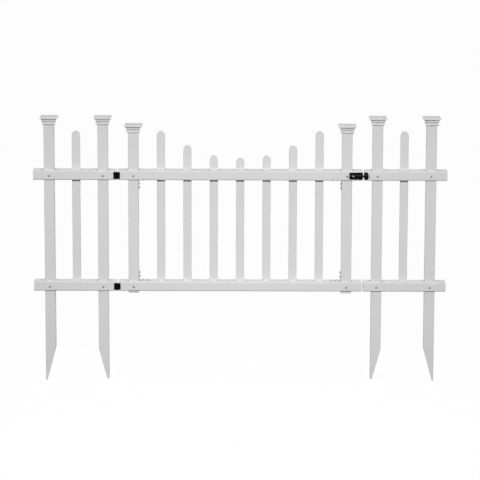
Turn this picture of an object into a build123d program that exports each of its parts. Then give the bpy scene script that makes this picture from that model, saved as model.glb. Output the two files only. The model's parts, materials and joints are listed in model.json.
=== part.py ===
"""A white vinyl fence gate between two short fence wings on stake-pointed posts.

The gate's leaf hangs on two butt hinges and is held shut by a barrel bolt. X runs along
the fence, Z is up and the hinges face -Y. The origin is on the blunt tip of the hinge post.
"""
from build123d import *
import os
from math import cos, radians, sin

os.makedirs("parts", exist_ok=True)

# Overall sizes in millimetres
overall_width = 1524.0
gate_width = 908.0
rail_spacing = 416.8
stake_below_rail = 334.7
outer_stake_extra = 6.0

# Posts and gate stiles, square vinyl tube
post_width = 38.1
post_wall = 2.4
post_corner = 2.0
outer_post_inset = 59.0
inner_post_inset = 51.4
stile_inset = 60.8
stile_foot = 8.5
stake_slope = 3.7
stake_tip = 7.0

# Rails, flat vinyl tube with routed holes and plugged ends
rail_height = 36.0
rail_beside_post = 6.35
rail_wall = 2.4
rail_corner = 4.5
rout_clearance = 0.5
split_gap = 5.0
end_cap_face = 4.0
end_cap_plug = 10.0
plug_clearance = 0.2

# Pickets, hollow with half-round tops, on a curve that dips in the middle of the gate
picket_width = 30.0
picket_thick = 16.0
picket_wall = 1.8
picket_bevel = 1.2
gate_pickets = 7
wing_picket_rise = 179.7
scallop_depth = 100.0
scallop_fullness = 2.5
scallop_sweep = 1.4

# Moulded caps, stepping out from the post that they cover
slab_overhang = 13.6
groove_overhang = 5.2
band_overhang = 8.4
band_lip = 0.8
neck_overhang = 2.0
bead_radius = 3.8
cap_height = 29.1
cap_crown = 0.8
band_low = 15.6
band_top = 19.1
slab_low = 22.6
slab_corner = 3.0
cap_socket = 14.0
socket_clearance = 0.2
post_cap_rise = 204.7
stile_cap_rise = 175.3

# Butt hinges
hinge_height = 24.5
hinge_leaf_reach = 12.0
hinge_leaf_thick = 1.6
knuckle_radius = 3.5
knuckle_gap = 0.3
pin_radius = 2.0
pin_running = 0.06
pin_seat = 0.02
pin_end = 2.0
pin_head = 2.8
pin_head_height = 0.8

# Barrel bolt and keeper
latch_length = 49.5
latch_height = 25.5
plate_thick = 1.6
plate_corner = 2.0
barrel_radius = 5.5
bolt_radius = 3.5
bolt_running = 0.1
bolt_lift = 4.8
bolt_past_keeper = 1.8
bolt_length = 48.3
bolt_travel = 21.0
bolt_nose = 1.2
knob_back = 7.0
knob_angle = 35.0
knob_stem = 2.4
knob_reach = 6.5
knob_head = 3.2
knob_head_length = 5.5
knob_round = 1.2
slot_clearance = 0.6
keeper_length = 13.6
keeper_height = 27.0
keeper_radius = 6.2
keeper_clearance = 0.5

# Corner braces
brace_leg = 38.1
brace_width = 16.0
brace_thick = 2.0
brace_round = 4.0

# Places that follow from the sizes
rail_depth = post_width + 2 * rail_beside_post
half_gate = gate_width / 2
half_fence = overall_width / 2
inner_post_x = half_gate + inner_post_inset
outer_post_x = half_fence - outer_post_inset
wing_picket_x = (inner_post_x + outer_post_x) / 2
stile_x = half_gate - stile_inset
picket_gap = (2 * stile_x - post_width - gate_pickets * picket_width) / (gate_pickets + 1)
picket_pitch = picket_gap + picket_width
mid = inner_post_x - post_width / 2 + post_wall / 2
low_rail_z = stake_below_rail
top_rail_z = low_rail_z + rail_spacing
rail_front = -rail_depth / 2
wing_split = half_gate + split_gap / 2
gate_split = half_gate - split_gap / 2


def save(piece, name):
    piece.part.label = name
    export_step(piece.part, f"parts/{name}.step")


def make_post(name, x, z_low, z_top, point=0, tip=stake_tip):
    """A square tube; point is +1 or -1 for a stake cut to that side, 0 for a square end."""
    with BuildPart() as post:
        with BuildSketch(Plane.XY.offset(z_low)):
            with Locations((x, 0)):
                RectangleRounded(post_width, post_width, post_corner)
                Rectangle(post_width - 2 * post_wall, post_width - 2 * post_wall, mode=Mode.SUBTRACT)
        extrude(amount=z_top - z_low)
        if point:
            far_side = x - point * post_width / 2
            tip_side = x + point * (post_width / 2 - tip)
            cut_height = (post_width - tip) * stake_slope
            with BuildSketch(Plane.XZ):
                with BuildLine():
                    Polyline((far_side, z_low), (tip_side, z_low), (far_side, z_low + cut_height), close=True)
                make_face()
            extrude(amount=post_width, both=True, mode=Mode.SUBTRACT)
    save(post, name)


def make_cap(name, x, z):
    """A moulding run along X and along Y; what the two runs share is mitred at the corners.

    Its outline is a bead, a slope out to a band, a groove and a slab with a rounded edge.
    """
    neck = post_width / 2 + neck_overhang
    band = post_width / 2 + band_overhang
    groove = post_width / 2 + groove_overhang
    slab = post_width / 2 + slab_overhang
    front = Plane((x, 0, z), x_dir=(1, 0, 0), z_dir=(0, -1, 0))
    end = Plane((x, 0, z), x_dir=(0, 1, 0), z_dir=(1, 0, 0))
    with BuildPart() as cap:
        for plane, mode in ((front, Mode.ADD), (end, Mode.INTERSECT)):
            with BuildSketch(plane):
                with BuildLine():
                    Line((0, 0), (neck, 0))
                    ThreePointArc((neck, 0), (neck + bead_radius, bead_radius), (neck, 2 * bead_radius))
                    Line((neck, 2 * bead_radius), (band - band_lip, band_low))
                    Line((band - band_lip, band_low), (band, band_low))
                    Line((band, band_low), (band, band_top))
                    Line((band, band_top), (groove, band_top))
                    Line((groove, band_top), (groove, slab_low))
                    Line((groove, slab_low), (slab, slab_low))
                    Line((slab, slab_low), (slab, cap_height - slab_corner))
                    RadiusArc((slab, cap_height - slab_corner), (slab - slab_corner, cap_height), -slab_corner)
                    Line((slab - slab_corner, cap_height), (0, cap_height + cap_crown))
                    Line((0, cap_height + cap_crown), (0, 0))
                make_face()
                mirror(about=Plane.YZ)
            extrude(amount=slab, both=True, mode=mode)
        with BuildSketch(Plane.XY.offset(z)):
            with Locations((x, 0)):
                Rectangle(post_width + 2 * socket_clearance, post_width + 2 * socket_clearance)
        extrude(amount=cap_socket, mode=Mode.SUBTRACT)
    save(cap, name)


def make_picket(name, x, z_top):
    """A hollow upright with a half-round top, standing on the low rail's floor."""
    z_low = low_rail_z + rail_wall
    shoulder = z_top - picket_width / 2
    bore_width = picket_width - 2 * picket_wall
    with BuildPart() as picket:
        with BuildSketch(Plane.XZ):
            with Locations((x, (z_low + shoulder) / 2)):
                Rectangle(picket_width, shoulder - z_low)
            with Locations((x, shoulder)):
                Circle(picket_width / 2)
        extrude(amount=picket_thick / 2, both=True)
        outline = picket.faces().filter_by(Axis.Y).edges()
        chamfer(outline.filter_by(GeomType.CIRCLE) + outline.filter_by(Axis.Z), picket_bevel)
        with BuildSketch(Plane.XZ):
            with Locations((x, (z_low + shoulder) / 2)):
                Rectangle(bore_width, shoulder - z_low)
            with Locations((x, shoulder)):
                Circle(bore_width / 2)
        extrude(amount=picket_thick / 2 - picket_wall, both=True, mode=Mode.SUBTRACT)
    save(picket, name)


def make_rail(name, x_from, x_to, z_low, posts, pickets, pickets_through):
    """A flat tube; post holes go through both faces, picket holes only through the top if low."""
    with BuildPart() as rail:
        with BuildSketch(Plane.YZ.offset(x_from)):
            with Locations((0, z_low + rail_height / 2)):
                RectangleRounded(rail_depth, rail_height, rail_corner)
                Rectangle(rail_depth - 2 * rail_wall, rail_height - 2 * rail_wall, mode=Mode.SUBTRACT)
        extrude(amount=x_to - x_from)
        with BuildSketch(Plane.XY.offset(z_low)):
            with Locations([(x, 0) for x in posts]):
                Rectangle(post_width + 2 * rout_clearance, post_width + 2 * rout_clearance)
        extrude(amount=rail_height, mode=Mode.SUBTRACT)
        picket_from = z_low if pickets_through else z_low + rail_height / 2
        with BuildSketch(Plane.XY.offset(picket_from)):
            with Locations([(x, 0) for x in pickets]):
                Rectangle(picket_width + 2 * rout_clearance, picket_thick + 2 * rout_clearance)
        extrude(amount=z_low + rail_height - picket_from, mode=Mode.SUBTRACT)
    save(rail, name)


def make_end_caps(name, x_left, x_right):
    """Four plugs that close both ends of a top and a low rail, flush with the tube."""
    with BuildPart() as caps:
        for x_end, inward in ((x_left, 1), (x_right, -1)):
            for z_low in (low_rail_z, top_rail_z):
                with BuildSketch(Plane.YZ.offset(x_end)):
                    with Locations((0, z_low + rail_height / 2)):
                        RectangleRounded(rail_depth, rail_height, rail_corner)
                extrude(amount=inward * end_cap_face)
                with BuildSketch(Plane.YZ.offset(x_end + inward * end_cap_face)):
                    with Locations((0, z_low + rail_height / 2)):
                        Rectangle(
                            rail_depth - 2 * rail_wall - 2 * plug_clearance,
                            rail_height - 2 * rail_wall - 2 * plug_clearance,
                        )
                extrude(amount=inward * end_cap_plug)
    save(caps, name)


def make_hinge_leaf(name, z_low, side, knuckles, bore):
    """One leaf on the rails' front face; side is -1 for the wing and +1 for the gate."""
    axis_x = mid - half_gate
    axis_y = rail_front - knuckle_radius
    root = knuckle_radius + knuckle_gap
    plate_y = rail_front - hinge_leaf_thick / 2
    with BuildPart() as leaf:
        with BuildSketch(Plane.XY.offset(z_low)):
            with Locations((axis_x + side * (root + hinge_leaf_reach) / 2, plate_y)):
                Rectangle(hinge_leaf_reach - root, hinge_leaf_thick)
        extrude(amount=hinge_height)
        for knuckle_low, knuckle_high in knuckles:
            with BuildSketch(Plane.XY.offset(z_low + knuckle_low)):
                with Locations((axis_x, axis_y)):
                    Circle(knuckle_radius)
                with Locations((axis_x + side * root / 2, plate_y)):
                    Rectangle(root, hinge_leaf_thick)
                with Locations((axis_x, axis_y)):
                    Circle(bore, mode=Mode.SUBTRACT)
            extrude(amount=knuckle_high - knuckle_low)
    save(leaf, name)


def make_hinge_pin(name, z_low):
    """A plain pin with a round head above the knuckles and a short end below them."""
    with BuildPart() as pin:
        with BuildSketch(Plane.XY.offset(z_low - pin_end)):
            with Locations((mid - half_gate, rail_front - knuckle_radius)):
                Circle(pin_radius)
        extrude(amount=hinge_height + pin_end)
        with BuildSketch(Plane.XY.offset(z_low + hinge_height)):
            with Locations((mid - half_gate, rail_front - knuckle_radius)):
                Circle(pin_head)
        extrude(amount=pin_head_height)
        chamfer(pin.edges().group_by(Axis.Z)[0], pin_radius / 4)
    save(pin, name)


def make_brace(name, side, z_rail, down):
    """A bent strip in a corner of the gate; down is +1 under the top rail, -1 on the low rail."""
    corner_x = mid + side * (stile_x - post_width / 2)
    with BuildPart() as brace:
        with BuildSketch(Plane.XZ):
            with BuildLine():
                Polyline(
                    (corner_x, z_rail),
                    (corner_x - side * brace_leg, z_rail),
                    (corner_x - side * brace_leg, z_rail - down * brace_thick),
                    (corner_x - side * brace_thick, z_rail - down * brace_thick),
                    (corner_x - side * brace_thick, z_rail - down * brace_leg),
                    (corner_x, z_rail - down * brace_leg),
                    close=True,
                )
            make_face()
        extrude(amount=brace_width / 2, both=True)
        fillet(brace.edges().filter_by(Axis.Z).group_by(SortBy.LENGTH)[0], brace_round)
        fillet(brace.edges().filter_by(Axis.X).group_by(SortBy.LENGTH)[0], brace_round)
    save(brace, name)


# Both wings of the fence
for hand, side in (("left", -1), ("right", 1)):
    make_post(f"{hand}_inner_post", mid + side * inner_post_x, 0.0,
              top_rail_z + post_cap_rise + cap_socket - socket_clearance, point=-side)
    make_post(f"{hand}_outer_post", mid + side * outer_post_x, -outer_stake_extra,
              top_rail_z + post_cap_rise + cap_socket - socket_clearance, point=side,
              tip=stake_tip - outer_stake_extra / stake_slope)
    make_cap(f"{hand}_inner_post_cap", mid + side * inner_post_x, top_rail_z + post_cap_rise)
    make_cap(f"{hand}_outer_post_cap", mid + side * outer_post_x, top_rail_z + post_cap_rise)
    make_picket(f"{hand}_wing_picket", mid + side * wing_picket_x, top_rail_z + wing_picket_rise)
    wing_ends = sorted((mid + side * wing_split, mid + side * half_fence))
    wing_posts = [mid + side * inner_post_x, mid + side * outer_post_x]
    for level, z_low in (("bottom", low_rail_z), ("top", top_rail_z)):
        make_rail(f"{hand}_wing_{level}_rail", wing_ends[0] + end_cap_face, wing_ends[1] - end_cap_face,
                  z_low, wing_posts, [mid + side * wing_picket_x], level == "top")
    make_end_caps(f"{hand}_wing_rail_end_caps", wing_ends[0], wing_ends[1])

# The gate's leaf
picket_xs = [mid + (k - (gate_pickets - 1) / 2) * picket_pitch for k in range(gate_pickets)]
stile_xs = [mid - stile_x, mid + stile_x]
for hand, x in zip(("hinge", "latch"), stile_xs):
    make_post(f"gate_{hand}_stile", x, low_rail_z - stile_foot,
              top_rail_z + stile_cap_rise + cap_socket - socket_clearance)
    make_cap(f"gate_{hand}_stile_cap", x, top_rail_z + stile_cap_rise)
for level, z_low in (("bottom", low_rail_z), ("top", top_rail_z)):
    make_rail(f"gate_{level}_rail", mid - gate_split + end_cap_face, mid + gate_split - end_cap_face,
              z_low, stile_xs, picket_xs, level == "top")
make_end_caps("gate_rail_end_caps", mid - gate_split, mid + gate_split)
for k, x in enumerate(picket_xs):
    outward = abs(x - mid) / (picket_xs[-1] - mid)
    dip = max(0.0, 1 - outward ** scallop_fullness) ** scallop_sweep
    make_picket(f"gate_picket_{k + 1}", x, top_rail_z + wing_picket_rise - dip * scallop_depth)
for hand, side in (("hinge", -1), ("latch", 1)):
    make_brace(f"gate_{hand}_top_brace", side, top_rail_z, 1)
    make_brace(f"gate_{hand}_bottom_brace", side, low_rail_z + rail_height, -1)

# The hinges, three knuckles each
third = hinge_height / 3
wing_knuckles = ((0, third - knuckle_gap / 2), (2 * third + knuckle_gap / 2, hinge_height))
gate_knuckles = ((third + knuckle_gap / 2, 2 * third - knuckle_gap / 2),)
for level, z_rail in (("bottom", low_rail_z), ("top", top_rail_z)):
    hinge_low = z_rail + (rail_height - hinge_height) / 2
    make_hinge_leaf(f"{level}_hinge_wing_leaf", hinge_low, -1, wing_knuckles, pin_radius + pin_seat)
    make_hinge_leaf(f"{level}_hinge_gate_leaf", hinge_low, 1, gate_knuckles, pin_radius + pin_running)
    make_hinge_pin(f"{level}_hinge_pin", hinge_low)

# The latch, its bolt and its keeper on the top rails' front faces
bolt_y = rail_front - plate_thick - bolt_lift
bolt_z = top_rail_z + rail_height / 2
latch_right = mid + gate_split
latch_left = latch_right - latch_length
keeper_left = mid + wing_split
bolt_tip = keeper_left + keeper_length + bolt_past_keeper
bolt_tail = bolt_tip - bolt_length
knob_x = bolt_tail + knob_back
knob_way = (0, -sin(radians(knob_angle)), -cos(radians(knob_angle)))
knob_plane = Plane(origin=(knob_x, bolt_y, bolt_z), x_dir=(1, 0, 0), z_dir=knob_way)
slot_width = 2 * (knob_stem + slot_clearance)

with BuildPart() as latch_plate:
    with BuildSketch(Plane.XZ.offset(-rail_front)):
        with Locations(((latch_left + latch_right) / 2, bolt_z)):
            RectangleRounded(latch_length, latch_height, plate_corner)
    extrude(amount=plate_thick)
    with BuildSketch(Plane.YZ.offset(latch_left)):
        with Locations((bolt_y, bolt_z)):
            Circle(barrel_radius)
        with Locations((bolt_y + bolt_lift / 2, bolt_z)):
            Rectangle(bolt_lift, 2 * barrel_radius)
    extrude(amount=latch_length)
    with BuildSketch(Plane.YZ.offset(latch_left)):
        with Locations((bolt_y, bolt_z)):
            Circle(bolt_radius + bolt_running)
    extrude(amount=latch_length, mode=Mode.SUBTRACT)
    with BuildSketch(knob_plane):
        with Locations((-bolt_travel / 2, 0)):
            SlotOverall(bolt_travel + slot_width, slot_width)
    extrude(amount=2 * barrel_radius, mode=Mode.SUBTRACT)
save(latch_plate, "latch_plate")

with BuildPart() as latch_bolt:
    with BuildSketch(Plane.YZ.offset(bolt_tail)):
        with Locations((bolt_y, bolt_z)):
            Circle(bolt_radius)
    extrude(amount=bolt_length)
    chamfer(latch_bolt.edges().group_by(Axis.X)[-1], bolt_nose)
    with BuildSketch(knob_plane):
        Circle(knob_stem)
    extrude(amount=knob_reach)
    with BuildSketch(knob_plane.offset(knob_reach)):
        Circle(knob_head)
    extrude(amount=knob_head_length)
    chamfer(latch_bolt.faces().sort_by(Axis(knob_plane.origin, knob_way))[-1].edges(), knob_round)
save(latch_bolt, "latch_bolt")

with BuildPart() as latch_keeper:
    with BuildSketch(Plane.XZ.offset(-rail_front)):
        with Locations((keeper_left + keeper_length / 2, bolt_z)):
            RectangleRounded(keeper_length, keeper_height, plate_corner)
    extrude(amount=plate_thick)
    with BuildSketch(Plane.YZ.offset(keeper_left)):
        with Locations((bolt_y, bolt_z)):
            Circle(keeper_radius)
        with Locations((bolt_y + bolt_lift / 2, bolt_z)):
            Rectangle(bolt_lift, 2 * keeper_radius)
    extrude(amount=keeper_length)
    with BuildSketch(Plane.YZ.offset(keeper_left)):
        with Locations((bolt_y, bolt_z)):
            Circle(bolt_radius + keeper_clearance)
    extrude(amount=keeper_length, mode=Mode.SUBTRACT)
save(latch_keeper, "latch_keeper")
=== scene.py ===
"""Looks of a white vinyl fence gate: a picket leaf between two short fence wings.

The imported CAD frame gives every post, rail, picket, cap and piece of hardware its shape and its
place. This add-on gives them their finishes, drives the screws and sets the stage.
"""

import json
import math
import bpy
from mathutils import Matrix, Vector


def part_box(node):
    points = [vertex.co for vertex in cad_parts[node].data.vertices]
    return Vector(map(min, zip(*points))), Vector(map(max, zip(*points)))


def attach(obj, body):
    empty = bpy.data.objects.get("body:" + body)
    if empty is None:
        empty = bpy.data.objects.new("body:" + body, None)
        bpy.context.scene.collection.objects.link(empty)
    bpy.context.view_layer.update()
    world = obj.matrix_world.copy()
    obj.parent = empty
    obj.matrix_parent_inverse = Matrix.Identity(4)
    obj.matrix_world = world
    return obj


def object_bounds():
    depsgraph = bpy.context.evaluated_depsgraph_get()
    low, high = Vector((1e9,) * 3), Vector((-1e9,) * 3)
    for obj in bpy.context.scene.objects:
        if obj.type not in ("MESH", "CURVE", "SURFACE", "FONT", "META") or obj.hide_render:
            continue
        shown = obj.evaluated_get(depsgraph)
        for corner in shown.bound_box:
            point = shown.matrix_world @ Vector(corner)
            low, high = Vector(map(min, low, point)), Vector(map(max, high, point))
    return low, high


bl_info = {
    "name": "Vinyl Fence Gate",
    "version": (1, 0, 0),
    "blender": (4, 5, 0),
    "location": "View3D > Sidebar > Fence Gate",
    "description": "Finishes, screws and stage for a white vinyl fence gate",
    "category": "Object",
}

import bmesh
import bpy
from bpy.props import FloatProperty, FloatVectorProperty, IntProperty, PointerProperty
from bpy.types import Operator, Panel, PropertyGroup
from mathutils import Matrix, Vector

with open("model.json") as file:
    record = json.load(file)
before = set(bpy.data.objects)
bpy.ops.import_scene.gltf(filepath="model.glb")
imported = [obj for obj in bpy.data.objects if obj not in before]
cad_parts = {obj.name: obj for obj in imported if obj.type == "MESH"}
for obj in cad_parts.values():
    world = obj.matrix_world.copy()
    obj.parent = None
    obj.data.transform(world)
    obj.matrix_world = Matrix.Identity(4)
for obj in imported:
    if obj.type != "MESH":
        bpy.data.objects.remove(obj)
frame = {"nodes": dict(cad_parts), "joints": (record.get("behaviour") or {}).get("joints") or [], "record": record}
CAD_BOX = [list(corner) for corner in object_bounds()]
NODES = frame["nodes"]
SLOT_OF = {part["node"]: part["material_slot"] for part in frame["record"]["subparts"]}
HINGE_AXIS_X = next(j["pos_m"][0] for j in frame["joints"] if j["name"] == "gate_swing")

FRONT = Vector((0.0, -1.0, 0.0))
RIGHT = Vector((1.0, 0.0, 0.0))
UP = Vector((0.0, 0.0, 1.0))
X_AXIS = 0
Z_AXIS = 2
QUARTER_TURN = math.radians(90.0)
WHITE = (1.0, 1.0, 1.0, 1.0)

# Usual range of a noise's value
NOISE_LOW = 0.3
NOISE_HIGH = 0.7

# How strongly vinyl, paint and powder coat mirror light
VINYL_IOR = 1.52
VINYL_SPECULAR = 0.3
PAINT_SPECULAR = 0.35
COAT_SPECULAR = 0.03

# Colour sockets of a mix node, which share their names with its other sockets
MIX_FIRST = 6
MIX_SECOND = 7
MIX_RESULT = 2

# Upward lean of a surface, as its normal's Z, where dust and a painted highlight begin and where they are full
DUST_AND_HIGHLIGHT_BEGINS = 0.05
DUST_AND_HIGHLIGHT_FULL = 0.75

# Painted highlight on the latch plate: its place from the plate's end, half sizes and tilt, and the
# ragged distance, in half sizes, where the highlight is full and where it is gone
PATCH_FROM_END = 0.0135
PATCH_REACH = (0.0054, 0.02, 0.0030)
PATCH_TILT = math.radians(38.0)
PATCH_FULL_HIGHLIGHT = 1.2
PATCH_NO_HIGHLIGHT = 1.7

# Heights of the screw heads as shares of their radius
BRACE_HEAD_HEIGHT = 0.85
RAIL_HEAD_HEIGHT = 0.4
FLAT_HEAD_HEIGHT = 0.4

# Places of the screws along a brace's leg and a hinge's height, and their inset on the latch
# as a share of the head's radius
BRACE_SCREW_SHARES = (0.42, 0.82)
HINGE_SCREW_SHARES = (0.22, 0.78)
LATCH_SCREW_INSET = 1.8

# Turn of each screw from the one before it
SCREW_TURN = math.radians(37.0)

# Least lean of a face's normal to count as facing a way, and the greatest angle between faces
# that are shaded as one
FACING = 0.9
SMOOTH_ANGLE = math.radians(35.0)

# Sensor of the camera in millimetres, and how far it sees in metres
SENSOR_WIDTH = 36.0
CAMERA_REACH = 200.0


class FenceGateFinish(PropertyGroup):
    """Colours of the finishes."""

    vinyl: FloatVectorProperty(
        name="Vinyl", description="Colour of the extruded posts, rails and pickets",
        subtype="COLOR", size=3, min=0.0, max=1.0, default=(0.72, 0.72, 0.72))
    moulded: FloatVectorProperty(
        name="Moulded vinyl", description="Colour of the post caps and rail end caps",
        subtype="COLOR", size=3, min=0.0, max=1.0, default=(0.73, 0.73, 0.73))
    # The braces' grey is darker than their white paint: painted shade for the corners between stiles and rails
    brace_with_painted_shade: FloatVectorProperty(
        name="Braces", description="Colour of the painted corner braces",
        subtype="COLOR", size=3, min=0.0, max=1.0, default=(0.55, 0.55, 0.55))
    hardware: FloatVectorProperty(
        name="Hardware", description="Colour of the powder coat on hinges and latch",
        subtype="COLOR", size=3, min=0.0, max=1.0, default=(0.002, 0.002, 0.0022))
    # Dust on what faces up, which is also a painted highlight where light from above falls
    dust_and_highlight: FloatVectorProperty(
        name="Dust and highlight", description="Colour of the hardware where dust lies on what faces up",
        subtype="COLOR", size=3, min=0.0, max=1.0, default=(0.028, 0.028, 0.029))
    # Colour of a painted highlight on the latch plate
    highlight_colour: FloatVectorProperty(
        name="Painted highlight", description="Colour of the latch where a highlight is painted",
        subtype="COLOR", size=3, min=0.0, max=1.0, default=(0.34, 0.34, 0.34))
    zinc: FloatVectorProperty(
        name="Screws", description="Colour of the zinc plated screws",
        subtype="COLOR", size=3, min=0.0, max=1.0, default=(0.30, 0.31, 0.32))


class FenceGateScrews(PropertyGroup):
    """Sizes of the screws."""

    rail_head: FloatProperty(
        name="Rail screw head", description="Radius of the pan heads on the rails",
        unit="LENGTH", default=0.0042)
    rail_drop: FloatProperty(
        name="Rail screw drop", description="Distance of the rail screws below the middle of the rail",
        unit="LENGTH", default=0.0022)
    brace_head: FloatProperty(
        name="Brace screw head", description="Radius of the pan heads on the corner braces",
        unit="LENGTH", default=0.0034)
    hinge_head: FloatProperty(
        name="Hinge screw head", description="Radius of the flat heads on the hinge leaves",
        unit="LENGTH", default=0.0021)
    latch_head: FloatProperty(
        name="Latch screw head", description="Radius of the flat heads on latch and keeper",
        unit="LENGTH", default=0.0021)
    plate: FloatProperty(
        name="Hardware plate", description="Thickness of hinge leaves, latch plate and keeper",
        unit="LENGTH", default=0.0016)
    knuckle: FloatProperty(
        name="Hinge knuckle", description="Radius of the hinge knuckles",
        unit="LENGTH", default=0.0035)
    brace_plate: FloatProperty(
        name="Brace plate", description="Thickness of the corner braces",
        unit="LENGTH", default=0.002)
    sides: IntProperty(
        name="Sides", description="Sides of a round screw head", min=12, max=48, default=24)


class FenceGateStage(PropertyGroup):
    """Camera, light and floor."""

    floor: FloatVectorProperty(
        name="Floor", description="Colour of the pale floor as the camera sees it",
        subtype="COLOR", size=3, min=0.0, max=1.0, default=(0.96, 0.96, 0.96))
    floor_bounce: FloatVectorProperty(
        name="Floor bounce", description="Colour of the floor for the light that it throws up",
        subtype="COLOR", size=3, min=0.0, max=1.0, default=(0.18, 0.18, 0.18))
    floor_white: FloatProperty(
        name="Floor white", description="Share of plain white in what the camera sees of the floor",
        min=0.0, max=1.0, default=0.965)
    floor_side: FloatProperty(
        name="Floor side", description="Length of a side of the floor",
        unit="LENGTH", default=80.0)
    ambient: FloatProperty(
        name="Room light", description="Strength of the light from all round",
        min=0.0, max=1.0, default=0.08)
    key: FloatProperty(
        name="Front light", description="Strength of each of the two front lamps",
        min=0.0, max=10.0, default=1.64)
    key_height: FloatProperty(
        name="Front light height", description="Angle of the front lamps above level",
        subtype="ANGLE", default=math.radians(30.0))
    key_spread: FloatProperty(
        name="Front light spread", description="Angle of each front lamp to the side",
        subtype="ANGLE", default=math.radians(30.0))
    distance: FloatProperty(
        name="Lamp distance", description="Distance of the lamps from what they are aimed at",
        unit="LENGTH", default=5.5)
    aim: FloatProperty(
        name="Lamp aim", description="Height of the spot in the middle of the gate that the lamps aim at",
        unit="LENGTH", default=0.18)
    key_grid: FloatProperty(
        name="Front light grid", description="Angle at which the front lamps' grids stop their light",
        subtype="ANGLE", default=math.radians(74.0))
    softness: FloatProperty(
        name="Lamp softness", description="Width of each lamp as an angle",
        subtype="ANGLE", default=math.radians(5.0))
    top: FloatProperty(
        name="Top light", description="Strength of the lamp high in front",
        min=0.0, max=10.0, default=0.32)
    top_height: FloatProperty(
        name="Top light height", description="Angle of the high lamp above level",
        subtype="ANGLE", default=math.radians(80.0))
    back: FloatProperty(
        name="Back light", description="Strength of each of the two lamps behind the gate",
        min=0.0, max=10.0, default=1.1)
    back_height: FloatProperty(
        name="Back light height", description="Angle of the lamps behind the gate above level",
        subtype="ANGLE", default=math.radians(13.0))
    back_spread: FloatProperty(
        name="Back light spread", description="Angle of each lamp behind the gate from straight in front",
        subtype="ANGLE", default=math.radians(150.0))
    eye: FloatVectorProperty(
        name="Camera", description="Place of the camera",
        subtype="TRANSLATION", unit="LENGTH", size=3, default=(0.48755, -10.0, 2.4785))
    pitch: FloatProperty(
        name="Pitch", description="Angle of the camera below level",
        subtype="ANGLE", default=math.radians(11.06))
    roll: FloatProperty(
        name="Roll", description="Angle of the camera about its own line of sight",
        subtype="ANGLE", default=math.radians(0.16))
    lens: FloatProperty(
        name="Lens", description="Focal length on a 36 mm sensor, in millimetres",
        default=206.44)


def finish_of(context):
    return context.scene.fence_gate_finish


def new_finish(name):
    """An empty finish with its shader: the material and its Principled node."""
    material = bpy.data.materials.new(name)
    material.use_nodes = True
    tree = material.node_tree
    tree.nodes.clear()
    output = tree.nodes.new("ShaderNodeOutputMaterial")
    shader = tree.nodes.new("ShaderNodeBsdfPrincipled")
    tree.links.new(shader.outputs["BSDF"], output.inputs["Surface"])
    return material, shader


def evenly(cells):
    """The same number of cells per metre along each axis."""
    return (cells, cells, cells)


def stretched_noise(material, cells, detail=2.0, roughness=0.5):
    """Noise on Object coordinates, with its number of cells per metre along each axis."""
    tree = material.node_tree
    place = tree.nodes.new("ShaderNodeTexCoord")
    mapping = tree.nodes.new("ShaderNodeMapping")
    mapping.inputs["Scale"].default_value = cells
    noise = tree.nodes.new("ShaderNodeTexNoise")
    noise.inputs["Scale"].default_value = 1.0
    noise.inputs["Detail"].default_value = detail
    noise.inputs["Roughness"].default_value = roughness
    tree.links.new(place.outputs["Object"], mapping.inputs["Vector"])
    tree.links.new(mapping.outputs["Vector"], noise.inputs["Vector"])
    return noise.outputs["Fac"]


def ramp_between(material, value, low, high, start=NOISE_LOW, end=NOISE_HIGH):
    """A colour that runs from low to high as a pattern's value runs from start to end."""
    tree = material.node_tree
    ramp = tree.nodes.new("ShaderNodeValToRGB")
    ramp.color_ramp.elements[0].position = start
    ramp.color_ramp.elements[0].color = (*low, 1.0)
    ramp.color_ramp.elements[1].position = end
    ramp.color_ramp.elements[1].color = (*high, 1.0)
    tree.links.new(value, ramp.inputs["Fac"])
    return ramp.outputs["Color"]


def range_between(material, value, low, high):
    """A number that runs from low to high over the usual range of a noise."""
    tree = material.node_tree
    spread = tree.nodes.new("ShaderNodeMapRange")
    spread.inputs["From Min"].default_value = NOISE_LOW
    spread.inputs["From Max"].default_value = NOISE_HIGH
    spread.inputs["To Min"].default_value = low
    spread.inputs["To Max"].default_value = high
    tree.links.new(value, spread.inputs["Value"])
    return spread.outputs["Result"]


def raise_surface(material, shader, value, depth, strength):
    """A bump of that depth in metres."""
    tree = material.node_tree
    bump = tree.nodes.new("ShaderNodeBump")
    bump.inputs["Distance"].default_value = depth
    bump.inputs["Strength"].default_value = strength
    tree.links.new(value, bump.inputs["Height"])
    tree.links.new(bump.outputs["Normal"], shader.inputs["Normal"])


def shade(colour, share):
    return tuple(channel * share for channel in colour)


def extruded_vinyl(name, colour, along):
    """Soft-gloss extruded vinyl with faint die lines along one axis."""
    material, shader = new_finish(name)
    tree = material.node_tree
    cloudy = stretched_noise(material, evenly(cells=3.0), detail=3.0)
    tree.links.new(ramp_between(material, cloudy, low=shade(colour, share=0.975), high=colour),
                   shader.inputs["Base Color"])
    line_cells = list(evenly(cells=420.0))
    line_cells[along] = 1.5
    lines = stretched_noise(material, line_cells, detail=2.0)
    gloss = stretched_noise(material, evenly(cells=38.0), detail=4.0)
    tree.links.new(range_between(material, gloss, low=0.50, high=0.60), shader.inputs["Roughness"])
    raise_surface(material, shader, lines, depth=0.00012, strength=0.5)
    shader.inputs["IOR"].default_value = VINYL_IOR
    shader.inputs["Specular IOR Level"].default_value = VINYL_SPECULAR
    return material


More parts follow.
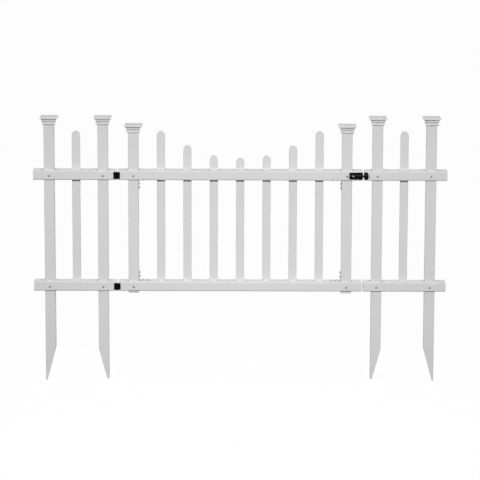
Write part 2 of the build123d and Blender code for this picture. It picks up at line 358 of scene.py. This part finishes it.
def moulded_vinyl(name, colour):
    """Injection-moulded vinyl: even, with a fine orange peel."""
    material, shader = new_finish(name)
    tree = material.node_tree
    cloudy = stretched_noise(material, evenly(cells=9.0), detail=3.0)
    tree.links.new(ramp_between(material, cloudy, low=shade(colour, share=0.985), high=colour),
                   shader.inputs["Base Color"])
    peel = stretched_noise(material, evenly(cells=420.0), detail=1.0)
    gloss = stretched_noise(material, evenly(cells=60.0), detail=3.0)
    tree.links.new(range_between(material, gloss, low=0.48, high=0.56), shader.inputs["Roughness"])
    raise_surface(material, shader, peel, depth=0.00006, strength=0.3)
    shader.inputs["IOR"].default_value = VINYL_IOR
    shader.inputs["Specular IOR Level"].default_value = VINYL_SPECULAR
    return material


def painted_steel(name, colour):
    """White paint on pressed steel, with slight runs and pits."""
    material, shader = new_finish(name)
    tree = material.node_tree
    cloudy = stretched_noise(material, evenly(cells=70.0), detail=4.0)
    tree.links.new(ramp_between(material, cloudy, low=shade(colour, share=0.93), high=colour),
                   shader.inputs["Base Color"])
    pits = stretched_noise(material, evenly(cells=1400.0), detail=2.0)
    tree.links.new(range_between(material, cloudy, low=0.3, high=0.45), shader.inputs["Roughness"])
    raise_surface(material, shader, pits, depth=0.00005, strength=0.3)
    shader.inputs["Specular IOR Level"].default_value = PAINT_SPECULAR
    return material


def blend_colours(material, share, first, second):
    """A pattern's colour mixed with a plain one by a share that runs from 0 to 1."""
    tree = material.node_tree
    mix = tree.nodes.new("ShaderNodeMix")
    mix.data_type = "RGBA"
    tree.links.new(share, mix.inputs["Factor"])
    tree.links.new(first, mix.inputs[MIX_FIRST])
    mix.inputs[MIX_SECOND].default_value = (*second, 1.0)
    return mix.outputs[MIX_RESULT]


def facing_up(material):
    """1 on what faces up, falling to 0 on what faces the side or down."""
    tree = material.node_tree
    surface = tree.nodes.new("ShaderNodeNewGeometry")
    parts = tree.nodes.new("ShaderNodeSeparateXYZ")
    spread = tree.nodes.new("ShaderNodeMapRange")
    spread.inputs["From Min"].default_value = DUST_AND_HIGHLIGHT_BEGINS
    spread.inputs["From Max"].default_value = DUST_AND_HIGHLIGHT_FULL
    tree.links.new(surface.outputs["Normal"], parts.inputs["Vector"])
    tree.links.new(parts.outputs["Z"], spread.inputs["Value"])
    return spread.outputs["Result"]


def powder_coat(name, colour, dust_and_highlight):
    """Black powder coat: a fine pebble over soft gloss, with dust and a painted highlight on what faces up."""
    material, shader = new_finish(name)
    tree = material.node_tree
    rubbed = stretched_noise(material, evenly(cells=160.0), detail=4.0, roughness=0.6)
    coat = ramp_between(material, rubbed, low=colour, high=shade(colour, share=2.6), start=0.5, end=0.8)
    # Paler on what faces up: dust, and a painted highlight where light from above falls
    tree.links.new(blend_colours(material, facing_up(material), coat, dust_and_highlight),
                   shader.inputs["Base Color"])
    pebble = stretched_noise(material, evenly(cells=2600.0), detail=1.0)
    tree.links.new(range_between(material, rubbed, low=0.42, high=0.32), shader.inputs["Roughness"])
    raise_surface(material, shader, pebble, depth=0.00004, strength=0.4)
    shader.inputs["Specular IOR Level"].default_value = COAT_SPECULAR
    return material


def paint_highlight_patch(material, highlight_colour, centre, reach, tilt):
    """Paint a pale highlight on a finish in one ragged patch, long along its tilt from level."""
    tree = material.node_tree
    shader = next(node for node in tree.nodes if node.type == "BSDF_PRINCIPLED")
    place = tree.nodes.new("ShaderNodeTexCoord")
    turn = tree.nodes.new("ShaderNodeMapping")
    turn.vector_type = "TEXTURE"
    turn.inputs["Location"].default_value = centre
    turn.inputs["Rotation"].default_value = (0.0, tilt, 0.0)
    turn.inputs["Scale"].default_value = reach
    distance = tree.nodes.new("ShaderNodeVectorMath")
    distance.operation = "LENGTH"
    ragged = tree.nodes.new("ShaderNodeMath")
    ragged.operation = "ADD"
    patch = tree.nodes.new("ShaderNodeMapRange")
    patch.inputs["From Min"].default_value = PATCH_NO_HIGHLIGHT
    patch.inputs["From Max"].default_value = PATCH_FULL_HIGHLIGHT
    tree.links.new(place.outputs["Object"], turn.inputs["Vector"])
    tree.links.new(turn.outputs["Vector"], distance.inputs[0])
    tree.links.new(distance.outputs["Value"], ragged.inputs[0])
    tree.links.new(stretched_noise(material, evenly(cells=300.0)), ragged.inputs[1])
    tree.links.new(ragged.outputs["Value"], patch.inputs["Value"])
    # The pale patch is a painted highlight, mixed over the coat's colour
    colour = shader.inputs["Base Color"]
    highlighted = blend_colours(material, patch.outputs["Result"], colour.links[0].from_socket, highlight_colour)
    tree.links.new(highlighted, colour)


def zinc_plate(name, colour):
    """Zinc plating on screws: dull metal with a fine crystal mottle."""
    material, shader = new_finish(name)
    tree = material.node_tree
    mottle = stretched_noise(material, evenly(cells=900.0), detail=3.0)
    tree.links.new(ramp_between(material, mottle, low=shade(colour, share=0.8), high=colour),
                   shader.inputs["Base Color"])
    tree.links.new(range_between(material, mottle, low=0.34, high=0.5), shader.inputs["Roughness"])
    raise_surface(material, shader, mottle, depth=0.00003, strength=0.3)
    shader.inputs["Metallic"].default_value = 1.0
    return material


def paint(piece, material):
    """Put one finish in a piece's first material slot."""
    if not piece.material_slots:
        piece.data.materials.append(material)
    piece.material_slots[0].material = material


def nodes_of_slot(slot):
    names = [name for name in sorted(NODES) if SLOT_OF[name] == slot]
    if not names:
        raise RuntimeError(f"the frame has no node in the slot {slot}")
    return names


def deselect_all():
    if bpy.context.mode != "OBJECT":
        bpy.ops.object.mode_set(mode="OBJECT")
    bpy.ops.object.select_all(action="DESELECT")


def make_active(piece):
    deselect_all()
    piece.select_set(True)
    bpy.context.view_layer.objects.active = piece


def select_faces(piece, test):
    """Open a piece in edit mode with only the faces that pass the test selected."""
    bpy.ops.object.mode_set(mode="EDIT")
    bpy.ops.mesh.select_mode(type="FACE")
    bpy.ops.mesh.select_all(action="DESELECT")
    shape = bmesh.from_edit_mesh(piece.data)
    for face in shape.faces:
        face.select_set(test(face))
    bmesh.update_edit_mesh(piece.data)


def cross_cutter(reach, width, depth, face_y):
    """A cross-shaped block: a small cube whose four sides are drawn out into arms."""
    deselect_all()
    bpy.ops.mesh.primitive_cube_add(size=1.0, location=(0.0, face_y, 0.0),
                                    scale=(width, 2.0 * depth, width))
    cutter = bpy.context.object
    bpy.ops.object.transform_apply(location=True, rotation=True, scale=True)
    select_faces(cutter, lambda face: abs(face.normal.y) < FACING)
    bpy.ops.mesh.extrude_faces_move(
        MESH_OT_extrude_faces_indiv={"mirror": False},
        TRANSFORM_OT_shrink_fatten={"value": reach - width / 2.0})
    bpy.ops.object.mode_set(mode="OBJECT")
    return cutter


def model_screw(name, radius, height, sides):
    """A screw head seated at the origin and facing the front, with a crowned top and a cross recess."""
    rounding = height * 0.7
    rise = height * 0.12
    crown_inset = radius * 0.25
    recess_reach = radius * 0.55
    recess_width = radius * 0.2
    recess_depth = height * 0.62
    deselect_all()
    bpy.ops.mesh.primitive_cylinder_add(
        vertices=sides, radius=radius, depth=height, location=(0.0, -height / 2.0, 0.0),
        rotation=(QUARTER_TURN, 0.0, 0.0))
    screw = bpy.context.object
    screw.name = name
    bpy.ops.object.transform_apply(location=True, rotation=True, scale=True)
    select_faces(screw, lambda face: face.normal.y < -FACING)
    bpy.ops.mesh.bevel(offset=rounding, segments=3, affect="EDGES")
    bpy.ops.object.mode_set(mode="OBJECT")
    near_top = -height * 0.95
    select_faces(screw, lambda face: face.calc_center_median().y < near_top and face.normal.y < -FACING)
    bpy.ops.mesh.inset(thickness=crown_inset)
    bpy.ops.transform.translate(value=(0.0, -rise, 0.0))
    bpy.ops.object.mode_set(mode="OBJECT")
    cutter = cross_cutter(recess_reach, recess_width, recess_depth, -height - rise)
    make_active(screw)
    cut = screw.modifiers.new("recess", "BOOLEAN")
    cut.operation = "DIFFERENCE"
    cut.solver = "MANIFOLD"
    cut.object = cutter
    bpy.ops.object.modifier_apply(modifier=cut.name)
    bpy.data.objects.remove(cutter)
    bpy.ops.object.shade_smooth_by_angle(angle=SMOOTH_ANGLE)
    if len(screw.data.polygons) < sides * 2:
        raise RuntimeError(f"the screw {name} lost its faces")
    return screw


def drive_screws(name, model, spots, body, material):
    """Copy a screw to each spot, a place and a facing, and join the copies into one piece."""
    copies = []
    for number, (place, facing) in enumerate(spots):
        copy = model.copy()
        copy.data = model.data.copy()
        bpy.context.scene.collection.objects.link(copy)
        spin = Matrix.Rotation(SCREW_TURN * number, 4, FRONT)
        turn = FRONT.rotation_difference(facing).to_matrix().to_4x4()
        copy.matrix_world = Matrix.Translation(place) @ turn @ spin
        copies.append(copy)
    deselect_all()
    for copy in copies:
        copy.select_set(True)
    bpy.context.view_layer.objects.active = copies[0]
    bpy.ops.object.transform_apply(location=True, rotation=True, scale=True)
    bpy.ops.object.join()
    piece = bpy.context.object
    piece.name = name
    piece.data.name = name
    paint(piece, material)
    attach(piece, body)


def discard(model):
    bpy.data.objects.remove(model)


def middle(node):
    low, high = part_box(node)
    return (low + high) / 2.0


class FENCE_GATE_OT_vinyl(Operator):
    """Finish the extruded posts, stiles, rails and pickets"""

    bl_idname = "fence_gate.vinyl"
    bl_label = "Finish Vinyl"

    def execute(self, context):
        colour = tuple(finish_of(context).vinyl)
        upright = extruded_vinyl("vinyl_upright", colour, along=Z_AXIS)
        level = extruded_vinyl("vinyl_rail", colour, along=X_AXIS)
        for name in nodes_of_slot("white_vinyl"):
            paint(NODES[name], level if name.endswith("_rail") else upright)
        return {"FINISHED"}


class FENCE_GATE_OT_caps(Operator):
    """Finish the moulded post caps and rail end caps"""

    bl_idname = "fence_gate.caps"
    bl_label = "Finish Caps"

    def execute(self, context):
        material = moulded_vinyl("moulded_cap", tuple(finish_of(context).moulded))
        for name in nodes_of_slot("moulded_vinyl"):
            paint(NODES[name], material)
        return {"FINISHED"}


class FENCE_GATE_OT_braces(Operator):
    """Finish the painted corner braces and drive their screws"""

    bl_idname = "fence_gate.braces"
    bl_label = "Finish Braces"

    def execute(self, context):
        finish = finish_of(context)
        sizes = context.scene.fence_gate_screws
        # Grey below the white paint's own colour: painted shade for the corners where the braces sit
        material = painted_steel("brace_paint", tuple(finish.brace_with_painted_shade))
        spots = []
        for name in nodes_of_slot("white_steel"):
            paint(NODES[name], material)
            low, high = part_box(name)
            inward = 1.0 if "hinge" in name else -1.0
            upward = -1.0 if "top" in name else 1.0
            corner_x = low.x if inward > 0.0 else high.x
            corner_z = high.z if upward < 0.0 else low.z
            leg = high.z - low.z
            for share in BRACE_SCREW_SHARES:
                across = corner_x + inward * sizes.brace_plate
                along = corner_z + upward * share * leg
                spots.append((Vector((across, 0.0, along)), RIGHT * inward))
                across = corner_x + inward * share * leg
                along = corner_z + upward * sizes.brace_plate
                spots.append((Vector((across, 0.0, along)), UP * upward))
        zinc = zinc_plate("brace_screw_zinc", tuple(finish.zinc))
        model = model_screw("brace_screw", sizes.brace_head, sizes.brace_head * BRACE_HEAD_HEIGHT,
                            sizes.sides)
        drive_screws("gate_brace_screws", model, spots, "gate_leaf", zinc)
        discard(model)
        return {"FINISHED"}


class FENCE_GATE_OT_hardware(Operator):
    """Finish the black hinges, latch plate, bolt and keeper"""

    bl_idname = "fence_gate.hardware"
    bl_label = "Finish Hardware"

    def execute(self, context):
        finish = finish_of(context)
        colour, dust_and_highlight = tuple(finish.hardware), tuple(finish.dust_and_highlight)
        material = powder_coat("black_powder_coat", colour, dust_and_highlight)
        for name in nodes_of_slot("black_hardware"):
            paint(NODES[name], material)
        latch_coat_with_highlight = powder_coat("latch_powder_coat", colour, dust_and_highlight)
        # A painted highlight on the latch plate, near its end
        low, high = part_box("latch_plate")
        patch = Vector((low.x + PATCH_FROM_END, low.y, (low.z + high.z) / 2.0))
        paint_highlight_patch(latch_coat_with_highlight, tuple(finish.highlight_colour), patch, PATCH_REACH, PATCH_TILT)
        paint(NODES["latch_plate"], latch_coat_with_highlight)
        return {"FINISHED"}


class FENCE_GATE_OT_rail_screws(Operator):
    """Drive a pan head screw through each rail into each post and stile"""

    bl_idname = "fence_gate.rail_screws"
    bl_label = "Drive Rail Screws"

    def execute(self, context):
        sizes = context.scene.fence_gate_screws
        zinc = zinc_plate("rail_screw_zinc", tuple(finish_of(context).zinc))
        model = model_screw("rail_screw", sizes.rail_head, sizes.rail_head * RAIL_HEAD_HEIGHT,
                            sizes.sides)
        posts = {
            "left_wing": ("left_outer_post", "left_inner_post"),
            "gate": ("gate_hinge_stile", "gate_latch_stile"),
            "right_wing": ("right_inner_post", "right_outer_post"),
        }
        for side, uprights in posts.items():
            spots = []
            for level in ("top", "bottom"):
                rail = f"{side}_{level}_rail"
                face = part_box(rail)[0].y
                level_z = middle(rail).z - sizes.rail_drop
                for upright in uprights:
                    spots.append((Vector((middle(upright).x, face, level_z)), FRONT))
            body = "gate_leaf" if side == "gate" else "fence_wings"
            drive_screws(f"{side}_rail_screws", model, spots, body, zinc)
        discard(model)
        return {"FINISHED"}


class FENCE_GATE_OT_hinge_screws(Operator):
    """Drive two screws in each hinge leaf"""

    bl_idname = "fence_gate.hinge_screws"
    bl_label = "Drive Hinge Screws"

    def execute(self, context):
        sizes = context.scene.fence_gate_screws
        finish = finish_of(context)
        coat = powder_coat("hinge_screw_coat", tuple(finish.hardware), tuple(finish.dust_and_highlight))
        model = model_screw("hinge_screw", sizes.hinge_head, sizes.hinge_head * FLAT_HEAD_HEIGHT,
                            sizes.sides)
        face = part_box("gate_top_rail")[0].y - sizes.plate
        for leaf, body in (("wing", "fence_wings"), ("gate", "gate_leaf")):
            spots = []
            for level in ("top", "bottom"):
                low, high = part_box(f"{level}_hinge_{leaf}_leaf")
                if leaf == "wing":
                    across = (low.x + HINGE_AXIS_X - sizes.knuckle) / 2.0
                else:
                    across = (high.x + HINGE_AXIS_X + sizes.knuckle) / 2.0
                for share in HINGE_SCREW_SHARES:
                    along = low.z + share * (high.z - low.z)
                    spots.append((Vector((across, face, along)), FRONT))
            drive_screws(f"hinge_{leaf}_screws", model, spots, body, coat)
        discard(model)
        return {"FINISHED"}


class FENCE_GATE_OT_latch_screws(Operator):
    """Drive four screws in the latch plate and two in the keeper"""

    bl_idname = "fence_gate.latch_screws"
    bl_label = "Drive Latch Screws"

    def execute(self, context):
        sizes = context.scene.fence_gate_screws
        finish = finish_of(context)
        coat = powder_coat("latch_screw_coat", tuple(finish.hardware), tuple(finish.dust_and_highlight))
        model = model_screw("latch_screw", sizes.latch_head, sizes.latch_head * FLAT_HEAD_HEIGHT,
                            sizes.sides)
        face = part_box("gate_top_rail")[0].y - sizes.plate
        inset = sizes.latch_head * LATCH_SCREW_INSET
        low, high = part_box("latch_plate")
        spots = [(Vector((x, face, z)), FRONT)
                 for x in (low.x + inset, high.x - inset) for z in (low.z + inset, high.z - inset)]
        drive_screws("latch_plate_screws", model, spots, "gate_leaf", coat)
        low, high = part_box("latch_keeper")
        across = middle("latch_keeper").x
        spots = [(Vector((across, face, z)), FRONT) for z in (low.z + inset, high.z - inset)]
        drive_screws("latch_keeper_screws", model, spots, "fence_wings", coat)
        discard(model)
        return {"FINISHED"}


def stand_lamp(lamp, stage, height, side):
    """Aim a lamp at the gate from a height above level and an angle round from the front."""
    stand = bpy.data.objects.new(lamp.name, lamp)
    bpy.context.scene.collection.objects.link(stand)
    towards = Vector((math.cos(height) * math.sin(side), -math.cos(height) * math.cos(side),
                      math.sin(height)))
    stand.rotation_euler = (-towards).to_track_quat("-Z", "Y").to_euler()
    target = (Vector(CAD_BOX[0]) + Vector(CAD_BOX[1])) / 2.0
    target.z = stage.aim
    stand.location = target + towards * stage.distance


def add_softbox(name, strength, stage, side):
    """A round front lamp with a grid, as strong on what it is aimed at as a sun of that strength."""
    lamp = bpy.data.lights.new(name, "AREA")
    lamp.shape = "DISK"
    lamp.size = 2.0 * stage.distance * math.tan(stage.softness / 2.0)
    lamp.spread = stage.key_grid
    half = stage.key_grid / 2.0
    # The grid gathers the beam, and the last factor takes that back on the beam's axis
    lamp.energy = strength * math.pi * stage.distance ** 2 * (1.0 - half / math.tan(half))
    stand_lamp(lamp, stage, stage.key_height, side)


def add_sun(name, strength, stage, height, side):
    """A soft lamp that is equally strong everywhere."""
    lamp = bpy.data.lights.new(name, "SUN")
    lamp.energy = strength
    lamp.angle = stage.softness
    stand_lamp(lamp, stage, height, side)


def seen_rays(tree):
    """1 for rays from the camera, and for what metal and glass show of the surroundings."""
    path = tree.nodes.new("ShaderNodeLightPath")
    first = tree.nodes.new("ShaderNodeMath")
    first.operation = "MAXIMUM"
    tree.links.new(path.outputs["Is Camera Ray"], first.inputs[0])
    tree.links.new(path.outputs["Is Glossy Ray"], first.inputs[1])
    both = tree.nodes.new("ShaderNodeMath")
    both.operation = "MAXIMUM"
    tree.links.new(first.outputs[0], both.inputs[0])
    tree.links.new(path.outputs["Is Transmission Ray"], both.inputs[1])
    return both.outputs[0]


class FENCE_GATE_OT_stage(Operator):
    """Set the floor, the light and the camera"""

    bl_idname = "fence_gate.stage"
    bl_label = "Set Stage"

    def execute(self, context):
        stage = context.scene.fence_gate_stage
        self.lay_floor(stage)
        self.light_room(context.scene, stage)
        for hand, side in (("left", -1.0), ("right", 1.0)):
            add_softbox(f"front_lamp_{hand}", stage.key, stage, side * stage.key_spread)
            add_sun(f"back_lamp_{hand}", stage.back, stage, stage.back_height,
                    side * stage.back_spread)
        add_sun("top_lamp", stage.top, stage, stage.top_height, 0.0)
        self.aim_camera(context.scene, stage)
        context.scene.view_settings.view_transform = "Standard"
        return {"FINISHED"}

    def lay_floor(self, stage):
        deselect_all()
        bpy.ops.mesh.primitive_plane_add(size=stage.floor_side, location=(0.0, 0.0, CAD_BOX[0][2]))
        floor = bpy.context.object
        floor.name = "floor"
        bpy.ops.object.transform_apply(location=True, rotation=True, scale=True)
        material = bpy.data.materials.new("pale_floor")
        material.use_nodes = True
        tree = material.node_tree
        tree.nodes.clear()
        output = tree.nodes.new("ShaderNodeOutputMaterial")
        seen = seen_rays(tree)
        colour = tree.nodes.new("ShaderNodeMixRGB")
        colour.inputs["Color1"].default_value = (*stage.floor_bounce, 1.0)
        colour.inputs["Color2"].default_value = (*stage.floor, 1.0)
        tree.links.new(seen, colour.inputs["Fac"])
        matt = tree.nodes.new("ShaderNodeBsdfDiffuse")
        tree.links.new(colour.outputs["Color"], matt.inputs["Color"])
        white = tree.nodes.new("ShaderNodeEmission")
        white.inputs["Color"].default_value = WHITE
        share = tree.nodes.new("ShaderNodeMath")
        share.operation = "MULTIPLY"
        share.inputs[1].default_value = stage.floor_white
        tree.links.new(seen, share.inputs[0])
        mix = tree.nodes.new("ShaderNodeMixShader")
        tree.links.new(share.outputs[0], mix.inputs["Fac"])
        tree.links.new(matt.outputs["BSDF"], mix.inputs[1])
        tree.links.new(white.outputs["Emission"], mix.inputs[2])
        tree.links.new(mix.outputs["Shader"], output.inputs["Surface"])
        paint(floor, material)

    def light_room(self, scene, stage):
        world = bpy.data.worlds.new("studio")
        scene.world = world
        world.use_nodes = True
        tree = world.node_tree
        tree.nodes.clear()
        output = tree.nodes.new("ShaderNodeOutputWorld")
        room = tree.nodes.new("ShaderNodeBackground")
        room.inputs["Color"].default_value = WHITE
        room.inputs["Strength"].default_value = stage.ambient
        white = tree.nodes.new("ShaderNodeBackground")
        white.inputs["Color"].default_value = WHITE
        mix = tree.nodes.new("ShaderNodeMixShader")
        tree.links.new(seen_rays(tree), mix.inputs["Fac"])
        tree.links.new(room.outputs["Background"], mix.inputs[1])
        tree.links.new(white.outputs["Background"], mix.inputs[2])
        tree.links.new(mix.outputs["Shader"], output.inputs["Surface"])

    def aim_camera(self, scene, stage):
        lens = bpy.data.cameras.new("camera")
        lens.sensor_width = SENSOR_WIDTH
        lens.lens = stage.lens
        lens.clip_end = CAMERA_REACH
        camera = bpy.data.objects.new("camera", lens)
        scene.collection.objects.link(camera)
        camera.matrix_world = (
            Matrix.Translation(stage.eye)
            @ Matrix.Rotation(QUARTER_TURN - stage.pitch, 4, "X")
            @ Matrix.Rotation(stage.roll, 4, "Z"))
        scene.camera = camera


class FENCE_GATE_PT_panel(Panel):
    """Buttons and settings of the fence gate"""

    bl_label = "Fence Gate"
    bl_idname = "FENCE_GATE_PT_panel"
    bl_space_type = "VIEW_3D"
    bl_region_type = "UI"
    bl_category = "Fence Gate"

    def draw(self, context):
        layout = self.layout
        for step in STEPS:
            layout.operator(step.bl_idname)
        for group in (context.scene.fence_gate_finish, context.scene.fence_gate_screws,
                      context.scene.fence_gate_stage):
            box = layout.box()
            for name in group.__annotations__:
                box.prop(group, name)


GROUPS = {
    "fence_gate_finish": FenceGateFinish,
    "fence_gate_screws": FenceGateScrews,
    "fence_gate_stage": FenceGateStage,
}
STEPS = (
    FENCE_GATE_OT_vinyl,
    FENCE_GATE_OT_caps,
    FENCE_GATE_OT_braces,
    FENCE_GATE_OT_hardware,
    FENCE_GATE_OT_rail_screws,
    FENCE_GATE_OT_hinge_screws,
    FENCE_GATE_OT_latch_screws,
    FENCE_GATE_OT_stage,
)


def register():
    for name, group in GROUPS.items():
        bpy.utils.register_class(group)
        setattr(bpy.types.Scene, name, PointerProperty(type=group))
    for step in STEPS:
        bpy.utils.register_class(step)
    bpy.utils.register_class(FENCE_GATE_PT_panel)


def unregister():
    bpy.utils.unregister_class(FENCE_GATE_PT_panel)
    for step in reversed(STEPS):
        bpy.utils.unregister_class(step)
    for name, group in GROUPS.items():
        delattr(bpy.types.Scene, name)
        bpy.utils.unregister_class(group)


def main():
    register()
    bpy.ops.fence_gate.vinyl()
    bpy.ops.fence_gate.caps()
    bpy.ops.fence_gate.braces()
    bpy.ops.fence_gate.hardware()
    bpy.ops.fence_gate.rail_screws()
    bpy.ops.fence_gate.hinge_screws()
    bpy.ops.fence_gate.latch_screws()
    bpy.ops.fence_gate.stage()


if __name__ == "__main__":
    main()
